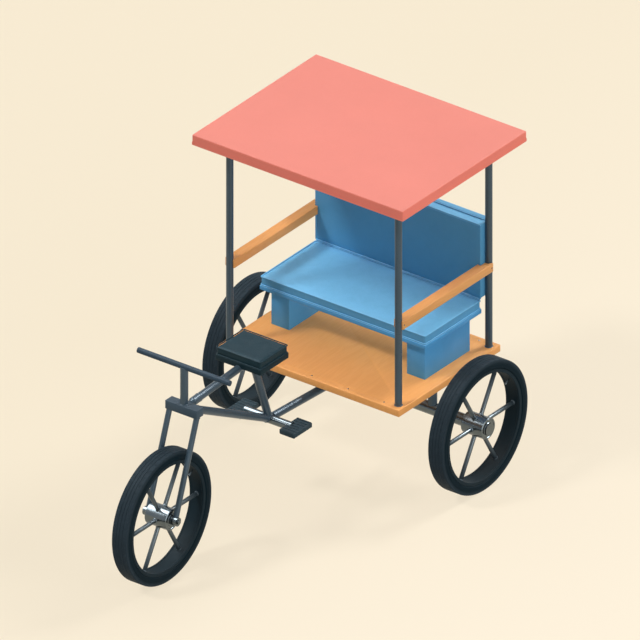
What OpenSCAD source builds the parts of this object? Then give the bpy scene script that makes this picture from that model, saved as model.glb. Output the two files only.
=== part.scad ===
// Cycle rickshaw: a pedal tricycle with one steered wheel in front and a
// canopied passenger bench over two wheels behind.
// It faces -Y. X = 0 is its middle plane, Z = 0 the ground, and Y = 0 lies
// halfway between the front tyre and the rear edge of the canopy.

/* [Wheels] */
// Outer radius of all three tyres
tyre_r = 380; // [300:5:460]
// Width of a tyre
tyre_w = 100; // [60:2:130]
// Radial thickness of a tyre
tyre_t = 52; // [30:1:70]
// Radial thickness of the rim band inside the tyre
rim_t = 20; // [10:1:30]
// How far the rim band lies in from each side of the tyre
rim_inset = 3; // [0:1:15]
// Outer radius of a hub
hub_r = 61; // [45:1:75]
// How far a hub stands out past each side of its tyre
hub_over = 20; // [10:1:40]
// Radius of a spoke
spoke_r = 12; // [6:1:16]
// Spokes in one wheel
spoke_count = 6; // [4:1:12]

/* [Deck and axle] */
// Front axle to rear axle
wheelbase = 1800; // [1500:10:2200]
// Width of the deck
deck_w = 1200; // [900:10:1500]
// Length of the deck
deck_len = 900; // [740:10:1200]
// Thickness of the deck
deck_t = 40; // [30:1:60]
// Front edge of the deck ahead of the rear axle
deck_ahead = 500; // [400:10:600]
// Gap between the deck's side and a rear tyre
wheel_gap = 100; // [40:5:160]
// Radius of the fixed rear axle
axle_r = 35; // [28:1:45]
// Radius of the axle where a hub turns on it
journal_r = 25; // [16:1:28]
// Thickness of the cap at each end of the rear axle
axle_cap_t = 9; // [5:1:15]
// Top of the rear axle to the underside of the deck
strut_len = 185; // [140:5:260]
// Radius of an upright strut on the axle
strut_r = 25; // [15:1:30]
// Strut to the middle plane
strut_x = 450; // [250:10:500]
// Width of the middle hanger between axle and deck
hanger_w = 60; // [40:2:90]
// Front to back size of the middle hanger
hanger_d = 50; // [30:2:70]

/* [Cycle frame] */
// Radius of the four frame tubes
tube_r = 22; // [15:1:26]
// Bottom bracket ahead of the deck's front edge
bracket_ahead = 350; // [260:5:450]
// Bottom bracket below the deck's underside
bracket_drop = 50; // [20:5:120]
// Radius of the bottom bracket shell
bracket_r = 25; // [22:1:32]
// Length of the bottom bracket shell
bracket_len = 64; // [50:2:100]
// Lean of the seat tube, as the saddle's distance ahead of the bracket
seat_lean = 150; // [60:5:220]
// Saddle underside above the middle of the crown
saddle_rise = 30; // [0:5:80]
// Far end of the main tube below the deck's underside
main_drop = 100; // [60:5:130]
// Middle of the front bearer behind the deck's front edge
bearer_back = 150; // [100:5:250]
// Square section of the front bearer
bearer_s = 36; // [24:2:44]
// Length of the front bearer
bearer_len = 1000; // [400:10:1150]

/* [Saddle] */
// Width of the saddle
saddle_w = 300; // [180:5:340]
// Length of the saddle
saddle_len = 250; // [180:5:300]
// Height of the whole saddle
saddle_h = 80; // [60:2:120]
// Height of the saddle's base, which straddles the top tube
saddle_base_h = 32; // [30:1:45]

/* [Pedals] */
// Radius of the pedal shaft outside the bottom bracket
shaft_r = 25; // [20:1:30]
// Radius of the shaft's journal inside the bottom bracket
shaft_pin_r = 15; // [9:1:18]
// Half the length of the thick shaft, whose ends reach into the pedals
shaft_half = 155; // [140:1:200]
// Radius of the spindle that holds a pedal on the shaft's end
spindle_r = 8; // [5:1:10]
// Length of that spindle
spindle_len = 55; // [30:1:65]
// Inner face of a pedal to the middle plane
pedal_in = 128; // [100:2:135]
// Width of a pedal
pedal_w = 100; // [70:2:120]
// Length of a pedal
pedal_len = 160; // [90:5:200]
// Thickness of a pedal
pedal_h = 33; // [24:1:50]

/* [Fork and handlebar] */
// Steering axis behind the front axle
fork_rake = 200; // [100:5:260]
// Middle of the crown above the top of the front tyre
crown_rise = 190; // [120:5:300]
// Height of the crown
crown_h = 50; // [44:1:80]
// Front to back size of the crown
crown_d = 60; // [52:1:90]
// How far the crown reaches past the middle of a fork leg
crown_over = 15; // [10:1:30]
// Radius of a fork leg
leg_r = 16; // [12:1:20]
// Gap between a fork leg and the end of the front hub
leg_gap = 4; // [2:1:15]
// Radius of the front axle
front_axle_r = 25; // [14:1:28]
// How far the front axle reaches past the middle of a fork leg
front_axle_over = 20; // [17:1:35]
// Radius of the stem above the crown
stem_r = 22; // [16:1:26]
// Radius of the steering pin below the stem
pin_r = 12.5; // [8:0.5:14]
// Outer radius of the head lug on the steering pin
lug_r = 21; // [17:1:23]
// Height of the slot in the crown that holds the head lug
slot_h = 30; // [22:1:34]
// Width of the lug's neck
neck_w = 36; // [20:1:40]
// Height of the lug's neck
neck_h = 20; // [12:1:22]
// How much wider the lug's sockets are than the frame tubes, as a radius
lug_wall = 2; // [1:0.5:4]
// Steering angle to each side
steer_max = 45; // [20:1:45]
// Handlebar above the middle of the crown
bar_rise = 250; // [150:5:350]
// Length of the handlebar
bar_len = 610; // [450:10:750]
// Radius of the handlebar
bar_r = 16; // [11:1:18]

/* [Posts and arms] */
// Radius of a canopy post
post_r = 20; // [14:1:28]
// Middle of a post in from the deck's side
post_in = 40; // [34:1:70]
// Middle of a post in from the deck's front or rear edge
post_back = 50; // [34:1:80]
// Free height of the posts above the deck
post_len = 1230; // [1000:10:1500]
// Depth of a post's socket in the deck
deck_socket = 26; // [10:1:32]
// Depth of a post's socket in the canopy
canopy_socket = 40; // [15:1:48]
// Width of an armrest
arm_w = 60; // [50:1:80]
// Height of an armrest's section
arm_h = 50; // [25:1:60]
// Underside of an armrest above the deck
arm_rise = 465; // [380:5:560]

/* [Bench] */
// Gap between the bench's end and the deck's side
bench_in = 50; // [44:1:70]
// Bench front to rear edge
bench_d = 500; // [380:10:600]
// Rear edge of the bench in from the deck's rear edge
bench_back = 100; // [70:5:130]
// Underside of the bench above the deck
bench_rise = 220; // [150:5:320]
// Thickness of the seat board
board_t = 25; // [12:1:30]
// Thickness of the seat cushion
cushion_t = 55; // [35:1:80]
// Width of one of the two boxes under the bench
box_w = 120; // [60:5:180]
// Outer side of a box in from the bench's end
box_in = 40; // [20:5:100]
// Box in from the bench's front and rear edges
box_back = 50; // [20:5:100]
// Height of the backrest above the seat cushion
back_h = 460; // [300:10:560]
// Thickness of the backrest board
back_board_t = 30; // [20:1:34]
// Thickness of the backrest cushion
back_pad_t = 70; // [40:1:80]
// Gap between the backrest and the deck's rear edge
back_in = 10; // [5:1:30]

/* [Canopy] */
// How far the canopy reaches past the deck on each of its four sides
canopy_over = 100; // [60:5:200]
// Height of the canopy's edge
canopy_h = 60; // [54:1:90]
// Thickness of the canopy's cover
cover_t = 2; // [1.5:0.5:4]
// Width of the canopy's edge rails
rail_w = 30; // [20:1:45]
// Width of the two cross bearers that hold the posts
cross_w = 60; // [54:1:90]
// Width of the middle ridge
ridge_w = 40; // [20:1:60]

/* [Clearances] */
// Radial gap of a hub, lug or shaft that turns on its pin
run_fit = 0.05; // [0.01:0.01:0.1]
// Gap at a welded, glued or seated curved joint
seat_fit = 0.2; // [0.1:0.05:0.3]
// Gap beside upholstery
soft_fit = 0.5; // [0.3:0.1:1]
// Gap between a turning hub and the shoulder beside it
end_play = 1; // [0.5:0.5:2]
// Least gap between moving pieces away from their pins
move_gap = 5; // [5:1:10]

/* [Hidden] */
$fn = 64;
eps = 1;

// Left is +X as the rider sees it, right is -X.
left = 1;
right = -1;

// Widths, measured from the middle plane
hub_len = tyre_w + 2 * hub_over;
wheel_x = deck_w / 2 + wheel_gap + tyre_w / 2;
leg_x = hub_len / 2 + leg_gap + leg_r;
post_x = deck_w / 2 - post_in;
bench_x = deck_w / 2 - bench_in;
canopy_x = deck_w / 2 + canopy_over;
axle_x = wheel_x + hub_len / 2 + end_play + axle_cap_t;

// Lengths, measured back from the front axle
deck_front = wheelbase - deck_ahead;
deck_rear = deck_front + deck_len;
bracket_y = deck_front - bracket_ahead;
saddle_y = bracket_y - seat_lean;
bench_rear = deck_rear - bench_back;
bench_front = bench_rear - bench_d;
back_rear = deck_rear - back_in;
back_front = back_rear - back_board_t - back_pad_t;
canopy_front = deck_front - canopy_over;
canopy_rear = deck_rear + canopy_over;
post_y = [deck_front + post_back, deck_rear - post_back];
front = 0;
rear = 1;

// Front axle in the part's own frame
front_y = -(canopy_rear - tyre_r) / 2;

// Heights above the ground
deck_z = tyre_r + axle_r + strut_len;
deck_top = deck_z + deck_t;
crown_z = 2 * tyre_r + crown_rise;
bracket_z = deck_z - bracket_drop;
saddle_z = crown_z + saddle_rise;
bar_z = crown_z + bar_rise;
bench_z = deck_top + bench_rise;
seat_top = bench_z + board_t + cushion_t;
arm_z = deck_top + arm_rise;
canopy_z = deck_top + post_len;
frame_h = canopy_h - cover_t - soft_fit;

// Ends of the frame tubes' axes, as [length, height]
head_p = [fork_rake, crown_z];
seat_p = [saddle_y, saddle_z];
bracket_p = [bracket_y, bracket_z];
main_p = [wheelbase, deck_z - main_drop];

// Head lug and the slot that it turns in
socket_r = tube_r + lug_wall;
neck_end = (crown_d / 2 + move_gap + socket_r * sin(steer_max)) / cos(steer_max);
slot_x = neck_w / 2 / cos(steer_max) + crown_d / 2 * tan(steer_max) + move_gap;
socket_len = neck_end + 2.5 * tube_r;

// ---- shared shapes ----

// A box from its two opposite corners, with lengths measured from the front axle
module block(a, b) {
    translate([a[0], front_y + a[1], a[2]])
        cube([b[0] - a[0], b[1] - a[1], b[2] - a[2]]);
}

// The same box on the left or on the right
module side_block(side, a, b) {
    if (side == left) block(a, b);
    else block([-b[0], a[1], a[2]], [-a[0], b[1], b[2]]);
}

// A bar along X, len long, with its middle at x
module cross_bar(x, y, z, r, len) {
    translate([x, front_y + y, z]) rotate([0, 90, 0])
        cylinder(h = len, r = r, center = true);
}

// A bar from p to q, each [length, height], in the plane at x.
// It can start late (skip) and run on past its end (over).
module slant_bar(x, p, q, r, skip = 0, over = 0) {
    d = q - p;
    translate([x, front_y + p[0], p[1]])
        rotate([atan2(d[1], d[0]) - 90, 0, 0])
            translate([0, 0, skip])
                cylinder(h = norm(d) + over - skip, r = r);
}

// An upright bar from z0 to z1
module upright(x, y, z0, z1, r) {
    translate([x, front_y + y, z0]) cylinder(h = z1 - z0, r = r);
}

// ---- cycle frame ----

// Sleeve on the steering pin, its neck, and the sockets of two frame tubes
module head_lug() {
    color("dimgray") difference() {
        union() {
            upright(0, fork_rake, crown_z - slot_h / 2 + seat_fit,
                crown_z + slot_h / 2 - seat_fit, lug_r);
            block([-neck_w / 2, fork_rake, crown_z - neck_h / 2],
                [neck_w / 2, fork_rake + neck_end + eps, crown_z + neck_h / 2]);
            difference() {
                for (p = [seat_p, bracket_p]) {
                    d = p - head_p;
                    slant_bar(0, head_p, head_p + d * socket_len / norm(d), socket_r);
                }
                block([-2 * socket_r, fork_rake - 2 * socket_r, crown_z - neck_end],
                    [2 * socket_r, fork_rake + neck_end, crown_z + neck_end]);
            }
        }
        upright(0, fork_rake, crown_z - slot_h, crown_z + slot_h, pin_r + run_fit);
    }
}

// Nearly level tube from the head to under the saddle
module top_tube() {
    color("dimgray") slant_bar(0, head_p, seat_p, tube_r, socket_len, tube_r);
}

// Tube from the head to the bottom bracket, mitred to the seat tube
module down_tube() {
    color("dimgray") difference() {
        slant_bar(0, head_p, bracket_p, tube_r, socket_len);
        bracket_cope();
        slant_bar(0, bracket_p, seat_p, tube_r + seat_fit, -tube_r);
    }
}

module seat_tube() {
    color("dimgray") difference() {
        slant_bar(0, bracket_p, seat_p, tube_r);
        bracket_cope();
        slant_bar(0, head_p, seat_p, tube_r + seat_fit, 0, 3 * tube_r);
    }
}

// Long tube from the bottom bracket back to the hanger on the rear axle
module main_tube() {
    color("dimgray") difference() {
        slant_bar(0, bracket_p, main_p, tube_r);
        bracket_cope();
        slant_bar(0, bracket_p, seat_p, tube_r + seat_fit);
        block([-2 * tube_r, wheelbase - hanger_d / 2, main_p[1] - 2 * tube_r],
            [2 * tube_r, wheelbase + hanger_d, main_p[1] + 3 * tube_r]);
    }
}

// Clears a tube's end round the bottom bracket's shell
module bracket_cope() {
    cross_bar(0, bracket_y, bracket_z, bracket_r + seat_fit, 4 * tube_r);
}

module bottom_bracket() {
    color("slategray") difference() {
        cross_bar(0, bracket_y, bracket_z, bracket_r, bracket_len);
        cross_bar(0, bracket_y, bracket_z, shaft_pin_r + run_fit, bracket_len + 2 * eps);
    }
}

// Base of the saddle, with a round channel over the top tube
module saddle_base() {
    color("darkslategray") difference() {
        block([-saddle_w / 2, saddle_y - saddle_len / 2, saddle_z],
            [saddle_w / 2, saddle_y + saddle_len / 2, saddle_z + saddle_base_h]);
        slant_bar(0, head_p, seat_p, tube_r + seat_fit, socket_len, tube_r + eps);
    }
}

module saddle() {
    color("darkslategray")
        block([-saddle_w / 2, saddle_y - saddle_len / 2, saddle_z + saddle_base_h],
            [saddle_w / 2, saddle_y + saddle_len / 2, saddle_z + saddle_h]);
}

// ---- rear axle and deck ----

// Fixed axle: thick in the middle, with a journal at each end
module rear_axle() {
    color("slategray") union() {
        cross_bar(0, wheelbase, tyre_r, axle_r,
            2 * (wheel_x - hub_len / 2 - end_play));
        cross_bar(0, wheelbase, tyre_r, journal_r, 2 * (axle_x - axle_cap_t));
    }
}

// A cap on the end of each journal keeps the hub on
module axle_caps() {
    color("slategray") for (side = [left, right])
        cross_bar(side * (axle_x - axle_cap_t / 2), wheelbase, tyre_r,
            axle_r, axle_cap_t);
}

module axle_strut(side) {
    color("dimgray") difference() {
        upright(side * strut_x, wheelbase, tyre_r, deck_z, strut_r);
        axle_cope();
    }
}

// Middle upright that joins axle, main tube and deck
module axle_hanger() {
    color("dimgray") difference() {
        block([-hanger_w / 2, wheelbase - hanger_d / 2, tyre_r],
            [hanger_w / 2, wheelbase + hanger_d / 2, deck_z]);
        axle_cope();
    }
}

// Clears an upright's foot round the axle
module axle_cope() {
    cross_bar(0, wheelbase, tyre_r, axle_r + seat_fit, 2 * wheel_x);
}

// Bar across under the deck, on a pedestal that sits on the main tube
module front_bearer() {
    y = deck_front + bearer_back;
    color("dimgray") difference() {
        union() {
            block([-bearer_len / 2, y - bearer_s / 2, deck_z - bearer_s],
                [bearer_len / 2, y + bearer_s / 2, deck_z]);
            block([-tube_r, y - bearer_s / 2, bracket_z - main_drop],
                [tube_r, y + bearer_s / 2, deck_z]);
        }
        slant_bar(0, bracket_p, main_p, tube_r + seat_fit);
        under_main(y);
    }
}

// All that lies below the main tube's axis near y
module under_main(y) {
    d = main_p - bracket_p;
    translate([0, front_y + bracket_p[0], bracket_p[1]])
        rotate([atan2(d[1], d[0]), 0, 0])
            translate([-2 * tube_r, 0, -4 * main_drop])
                cube([4 * tube_r, 2 * norm(d), 4 * main_drop]);
}

module deck() {
    color("sandybrown") difference() {
        block([-deck_w / 2, deck_front, deck_z], [deck_w / 2, deck_rear, deck_top]);
        for (side = [left, right], y = post_y)
            upright(side * post_x, y, deck_top - deck_socket, deck_top + eps,
                post_r + seat_fit);
    }
}

module post(side, end) {
    color("dimgray")
        upright(side * post_x, post_y[end], deck_top - deck_socket,
            canopy_z + canopy_socket, post_r);
}

// ---- passenger bench ----

// Rail between two posts, hollowed at both ends to fit them, and cut back
// where the backrest's end comes in
module armrest(side) {
    color("sandybrown") difference() {
        side_block(side, [post_x - arm_w / 2, post_y[front], arm_z],
            [post_x + arm_w / 2, post_y[rear], arm_z + arm_h]);
        for (y = post_y)
            upright(side * post_x, y, arm_z - eps, arm_z + arm_h + eps,
                post_r + seat_fit);
        side_block(side, [0, back_front - soft_fit, arm_z - eps],
            [bench_x + soft_fit, back_rear, arm_z + arm_h + eps]);
    }
}

// Box that carries one end of the bench
module seat_box(side) {
    color("steelblue")
        side_block(side, [bench_x - box_in - box_w, bench_front + box_back, deck_top],
            [bench_x - box_in, bench_rear - box_back, bench_z]);
}

module seat_board() {
    color("steelblue")
        block([-bench_x, bench_front, bench_z],
            [bench_x, bench_rear, bench_z + board_t]);
}

module seat_cushion() {
    color("steelblue")
        block([-bench_x, bench_front, bench_z + board_t],
            [bench_x, bench_rear, seat_top]);
}

// Clears the backrest's ends round the rear posts
module rear_post_cope() {
    for (side = [left, right])
        upright(side * post_x, post_y[rear], seat_top - eps,
            seat_top + back_h + 2 * eps, post_r + seat_fit);
}

module backrest_board() {
    color("steelblue") difference() {
        block([-bench_x, back_rear - back_board_t, seat_top + soft_fit],
            [bench_x, back_rear, seat_top + back_h]);
        rear_post_cope();
    }
}

module backrest_cushion() {
    color("steelblue") difference() {
        block([-bench_x, back_front, seat_top + soft_fit],
            [bench_x, back_rear - back_board_t, seat_top + back_h]);
        rear_post_cope();
    }
}

// ---- canopy ----

// Edge rails, a ridge, and two cross bearers with sockets for the posts
module canopy_frame() {
    in = cover_t + soft_fit;
    x = canopy_x - in;
    y0 = canopy_front + in;
    y1 = canopy_rear - in;
    z1 = canopy_z + frame_h;
    color("burlywood") difference() {
        union() {
            for (side = [left, right])
                side_block(side, [x - rail_w, y0, canopy_z], [x, y1, z1]);
            for (y = [y0, y1 - rail_w])
                block([-x, y, canopy_z], [x, y + rail_w, z1]);
            for (y = post_y)
                block([-x, y - cross_w / 2, canopy_z], [x, y + cross_w / 2, z1]);
            block([-ridge_w / 2, y0, canopy_z], [ridge_w / 2, y1, z1]);
        }
        for (side = [left, right], y = post_y)
            upright(side * post_x, y, canopy_z - eps, canopy_z + canopy_socket,
                post_r + seat_fit);
    }
}

// Cover over the frame: its top and four hanging sides, open below
module canopy_cover() {
    color("salmon") difference() {
        block([-canopy_x, canopy_front, canopy_z],
            [canopy_x, canopy_rear, canopy_z + canopy_h]);
        block([-canopy_x + cover_t, canopy_front + cover_t, canopy_z - eps],
            [canopy_x - cover_t, canopy_rear - cover_t, canopy_z + canopy_h - cover_t]);
    }
}

// ---- front fork ----

// Yoke: a block with a slot, open to the rear, that takes the head lug
module crown() {
    x = leg_x + crown_over;
    color("dimgray") difference() {
        block([-x, fork_rake - crown_d / 2, crown_z - crown_h / 2],
            [x, fork_rake + crown_d / 2, crown_z + crown_h / 2]);
        block([-slot_x, fork_rake - lug_r - end_play, crown_z - slot_h / 2],
            [slot_x, fork_rake + crown_d, crown_z + slot_h / 2]);
        upright(0, fork_rake, crown_z - crown_h, crown_z + crown_h, pin_r + seat_fit);
    }
}

// Stem with the steering pin below it, hollowed on top for the handlebar
module stem() {
    z = crown_z + crown_h / 2;
    color("dimgray") difference() {
        union() {
            upright(0, fork_rake, crown_z - crown_h / 2, z + eps, pin_r);
            upright(0, fork_rake, z, bar_z, stem_r);
        }
        cross_bar(0, fork_rake, bar_z, bar_r + seat_fit, 4 * stem_r);
    }
}

module handlebar() {
    color("dimgray") cross_bar(0, fork_rake, bar_z, bar_r, bar_len);
}

// Leg from the underside of the crown to the front axle
module fork_leg(side) {
    color("dimgray") difference() {
        slant_bar(side * leg_x, [0, tyre_r], head_p, leg_r);
        cross_bar(0, 0, tyre_r, front_axle_r + seat_fit, 4 * leg_x);
        block([-2 * leg_x, 0, crown_z - crown_h / 2],
            [2 * leg_x, 2 * fork_rake, crown_z + 2 * crown_h]);
    }
}

module front_axle() {
    color("slategray")
        cross_bar(0, 0, tyre_r, front_axle_r, 2 * (leg_x + front_axle_over));
}

// ---- wheels ----

// Hub, spokes and rim band in one piece, centred at x, y and turning on a
// pin of radius r
module wheel(x, y, r) {
    rim_r = tyre_r - tyre_t;
    color("dimgray") translate([x, front_y + y, tyre_r]) rotate([0, 90, 0])
        difference() {
            union() {
                difference() {
                    cylinder(h = tyre_w - 2 * rim_inset, r = rim_r, center = true);
                    cylinder(h = tyre_w, r = rim_r - rim_t, center = true);
                }
                cylinder(h = hub_len, r = hub_r, center = true);
                for (i = [0 : spoke_count - 1])
                    rotate([0, 0, 90 + i * 360 / spoke_count]) rotate([0, 90, 0])
                        translate([0, 0, (r + hub_r) / 2])
                            cylinder(h = rim_r - rim_t / 2 - (r + hub_r) / 2, r = spoke_r);
            }
            cylinder(h = hub_len + 2 * eps, r = r + run_fit, center = true);
        }
}

module tyre(x, y) {
    color("darkslategray") translate([x, front_y + y, tyre_r]) rotate([0, 90, 0])
        difference() {
            cylinder(h = tyre_w, r = tyre_r, center = true);
            cylinder(h = tyre_w + 2 * eps, r = tyre_r - tyre_t + seat_fit, center = true);
        }
}

// ---- pedals ----

// Shaft with a thin journal in the middle and a spindle at each end
module pedal_shaft() {
    color("slategray") union() {
        cross_bar(0, bracket_y, bracket_z, shaft_pin_r, bracket_len + 4 * end_play);
        for (side = [left, right])
            shaft_arm(side, shaft_half, shaft_r, spindle_r, spindle_len);
    }
}

// One side of the shaft from the bottom bracket to half, then its spindle
module shaft_arm(side, half, r, tip_r, tip) {
    start = bracket_len / 2 + end_play;
    cross_bar(side * (start + half) / 2, bracket_y, bracket_z, r, half - start);
    cross_bar(side * (half + (tip - eps) / 2), bracket_y, bracket_z, tip_r, tip + eps);
}

// Block that straddles the shaft's end and is bored for its spindle
module pedal(side) {
    color("darkslategray") difference() {
        side_block(side,
            [pedal_in, bracket_y - pedal_len / 2, bracket_z - pedal_h / 2],
            [pedal_in + pedal_w, bracket_y + pedal_len / 2, bracket_z + pedal_h / 2]);
        shaft_arm(side, shaft_half, shaft_r + seat_fit, spindle_r + seat_fit, spindle_len);
    }
}

// ---- nodes ----

head_lug();
top_tube();
down_tube();
seat_tube();
main_tube();
bottom_bracket();
saddle_base();
saddle();
rear_axle();
axle_caps();
axle_strut(left);  // axle_strut_left
axle_strut(right);  // axle_strut_right
axle_hanger();
front_bearer();
deck();
post(left, front);  // post_front_left
post(right, front);  // post_front_right
post(left, rear);  // post_rear_left
post(right, rear);  // post_rear_right
armrest(left);  // armrest_left
armrest(right);  // armrest_right
seat_box(left);  // seat_box_left
seat_box(right);  // seat_box_right
seat_board();
seat_cushion();
backrest_board();
backrest_cushion();
canopy_frame();
canopy_cover();
crown();
stem();
handlebar();
fork_leg(left);  // fork_leg_left
fork_leg(right);  // fork_leg_right
front_axle();
wheel(0, 0, front_axle_r);  // front_wheel
tyre(0, 0);  // front_tyre
wheel(wheel_x, wheelbase, journal_r);  // rear_wheel_left
tyre(wheel_x, wheelbase);  // rear_tyre_left
wheel(-wheel_x, wheelbase, journal_r);  // rear_wheel_right
tyre(-wheel_x, wheelbase);  // rear_tyre_right
pedal_shaft();
pedal(left);  // pedal_left
pedal(right);  // pedal_right
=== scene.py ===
import math
import bmesh
import bpy
from mathutils import Matrix, Vector


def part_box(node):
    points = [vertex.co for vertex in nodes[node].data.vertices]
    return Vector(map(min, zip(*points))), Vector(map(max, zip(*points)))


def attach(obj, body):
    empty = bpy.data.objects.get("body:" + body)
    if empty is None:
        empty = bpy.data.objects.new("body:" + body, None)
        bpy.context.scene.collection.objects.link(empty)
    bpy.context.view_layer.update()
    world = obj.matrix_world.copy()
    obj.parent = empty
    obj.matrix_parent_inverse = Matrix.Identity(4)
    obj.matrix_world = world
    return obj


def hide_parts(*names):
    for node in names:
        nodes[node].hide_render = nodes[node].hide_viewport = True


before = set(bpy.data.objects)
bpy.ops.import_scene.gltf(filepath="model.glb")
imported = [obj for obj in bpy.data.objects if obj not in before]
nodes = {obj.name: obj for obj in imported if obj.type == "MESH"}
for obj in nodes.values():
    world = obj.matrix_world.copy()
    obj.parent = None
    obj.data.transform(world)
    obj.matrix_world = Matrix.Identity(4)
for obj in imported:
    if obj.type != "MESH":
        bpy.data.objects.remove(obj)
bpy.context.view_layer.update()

scene = bpy.context.scene
alongX, alongZ = Vector((1, 0, 0)), Vector((0, 0, 1))
sides = {"left": 1, "right": -1}  # the rider's left is +X


# node trees: put() makes a node, sets its options and fills or links its sockets

def isSocket(value):
    return isinstance(value, bpy.types.NodeSocket)


def feed(tree, value, socket):
    if isSocket(value):
        tree.links.new(value, socket)
    else:
        socket.default_value = value


def setAll(thing, **values):
    for name, value in values.items():
        setattr(thing, name, value)
    return thing


def put(tree, kind, sockets=None, **options):
    node = setAll(tree.nodes.new(kind), **options)
    for name, value in (sockets or {}).items():
        feed(tree, value, node.inputs[name])
    return node


def mixed(tree, amount, first, second, blend="MIX"):
    # colours are tuples of three or sockets
    first, second = (c if isSocket(c) else (*c, 1) for c in (first, second))
    return put(tree, "ShaderNodeMix", {0: amount, 6: first, 7: second},
               data_type="RGBA", blend_type=blend).outputs[2]


def ranged(tree, value, low, high, toLow=0.0, toHigh=1.0):
    return put(tree, "ShaderNodeMapRange", {"Value": value, "From Min": low, "From Max": high,
                                            "To Min": toLow, "To Max": toHigh}).outputs["Result"]


def maths(tree, operation, first, second=0.0):
    return put(tree, "ShaderNodeMath", {0: first, 1: second}, operation=operation).outputs[0]


def times(tree, first, second):
    return maths(tree, "MULTIPLY", first, second)


def noisy(tree, vector, **sockets):
    return put(tree, "ShaderNodeTexNoise", {"Vector": vector, **sockets}).outputs["Fac"]


def mapped(tree, vector, **more):
    return put(tree, "ShaderNodeMapping", {"Vector": vector, **more}).outputs[0]


def ownPlace(tree):
    return put(tree, "ShaderNodeTexCoord").outputs["Object"]


def upward(tree):
    # how far a face looks up, from -1 to 1
    normal = put(tree, "ShaderNodeNewGeometry").outputs["Normal"]
    return put(tree, "ShaderNodeSeparateXYZ", {"Vector": normal}).outputs["Z"]


# shader groups that several finishes share

groups = {}
effects = {
    # tuples of two or four are ranges: from low, from high, to low, to high
    "toneDrift": dict(noise=dict(Detail=5.0, Roughness=0.6), spread=(0.3, 0.7, -1.0, 1.0)),
    "edgeWear": dict(samples=4, turn=(0.995, 0.86), noise=dict(Scale=38.0, Detail=6.0),
                     broken=(0.45, 0.62)),
    "roadDust": dict(noise=dict(Scale=9.0, Detail=8.0, Roughness=0.7), lying=(-0.2, 1.0, 0.35, 1.0),
                     patchy=(0.35, 0.7, 0.2, 1.0)),
    "paintedTopLight": dict(noise=dict(Scale=2.2, Detail=4.0), patchy=(0.3, 0.7, 0.92, 1.0), lying=(0.25, 0.90)),
    "fineGrain": dict(noise=dict(Detail=3.0, Roughness=0.65)),
    "hideGrain": dict(noise=dict(Scale=30.0, Detail=2.0), bend=0.004, dome=(0.0, 0.22),
                      fold=dict(Scale=14.0, Detail=4.0, Distortion=0.8), crease=(0.35, 0.65),
                      creaseHeight=0.6),
    "woodFigure": dict(bandStretch=(9.0, 0.9, 9.0), band=dict(Scale=1.6, Detail=4.0, Distortion=1.4),
                       bands=34.0, poreStretch=(330.0, 7.0, 330.0), pore=dict(Scale=1.0, Detail=2.0),
                       pores=(0.38, 0.62)),
}


def newGroup(name, inputs, outputs):
    # a socket without a value is a vector, one with four numbers a colour
    kinds = {type(None): "NodeSocketVector", float: "NodeSocketFloat", tuple: "NodeSocketColor"}
    tree = bpy.data.node_groups.new(name, "ShaderNodeTree")
    for label, value in inputs.items():
        socket = tree.interface.new_socket(name=label, in_out="INPUT", socket_type=kinds[type(value)])
        if value is not None:
            socket.default_value = value
    for label in outputs:
        kind = kinds[tuple if label == "Color" else float]
        tree.interface.new_socket(name=label, in_out="OUTPUT", socket_type=kind)
    groups[name] = tree
    return (tree, tree.nodes.new("NodeGroupInput").outputs, tree.nodes.new("NodeGroupOutput").inputs,
            effects.get(name))


def makeToneDrift():
    # slow change of tone over a surface
    tree, given, out, look = newGroup(
        "toneDrift", {"Color": (1, 1, 1, 1), "Scale": 3.0, "Depth": 0.06}, ["Color"])
    noise = noisy(tree, ownPlace(tree), Scale=given["Scale"], **look["noise"])
    swing = ranged(tree, noise, *look["spread"])
    gain = maths(tree, "ADD", times(tree, swing, given["Depth"]), 1.0)
    scaled = put(tree, "ShaderNodeVectorMath", {0: given["Color"], "Scale": gain}, operation="SCALE")
    feed(tree, scaled.outputs[0], out["Color"])


def makeEdgeWear():
    # a broken mask along the outer edges
    tree, given, out, look = newGroup("edgeWear", {"Reach": 0.003, "Amount": 0.5}, ["Mask"])
    soft = put(tree, "ShaderNodeBevel", {"Radius": given["Reach"]}, samples=look["samples"])
    true = put(tree, "ShaderNodeNewGeometry")
    turn = put(tree, "ShaderNodeVectorMath", {0: soft.outputs["Normal"], 1: true.outputs["Normal"]},
               operation="DOT_PRODUCT").outputs["Value"]
    edge = ranged(tree, turn, *look["turn"])
    broken = ranged(tree, noisy(tree, ownPlace(tree), **look["noise"]), *look["broken"])
    feed(tree, times(tree, times(tree, edge, broken), given["Amount"]), out["Mask"])


def makeRoadDust():
    # dust that thins out with height above the ground and lies on upper faces
    tree, given, out, look = newGroup("roadDust", {"Height": 0.5, "Amount": 0.3}, ["Mask"])
    place = ownPlace(tree)
    height = put(tree, "ShaderNodeSeparateXYZ", {"Vector": place}).outputs["Z"]
    low = ranged(tree, maths(tree, "DIVIDE", height, given["Height"]), 0.0, 1.0, 1.0, 0.0)
    lying = ranged(tree, upward(tree), *look["lying"])
    patchy = ranged(tree, noisy(tree, place, **look["noise"]), *look["patchy"])
    feed(tree, times(tree, times(tree, low, patchy), times(tree, lying, given["Amount"])), out["Mask"])


def makePaintedTopLight():
    # painted light: faces that look up get their own colour, lighter or darker than the sides, for how the
    # lamps fall on them, in patches
    tree, given, out, look = newGroup("paintedTopLight", {}, ["Mask"])
    patchy = ranged(tree, noisy(tree, ownPlace(tree), **look["noise"]), *look["patchy"])
    feed(tree, times(tree, ranged(tree, upward(tree), *look["lying"]), patchy), out["Mask"])


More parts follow.
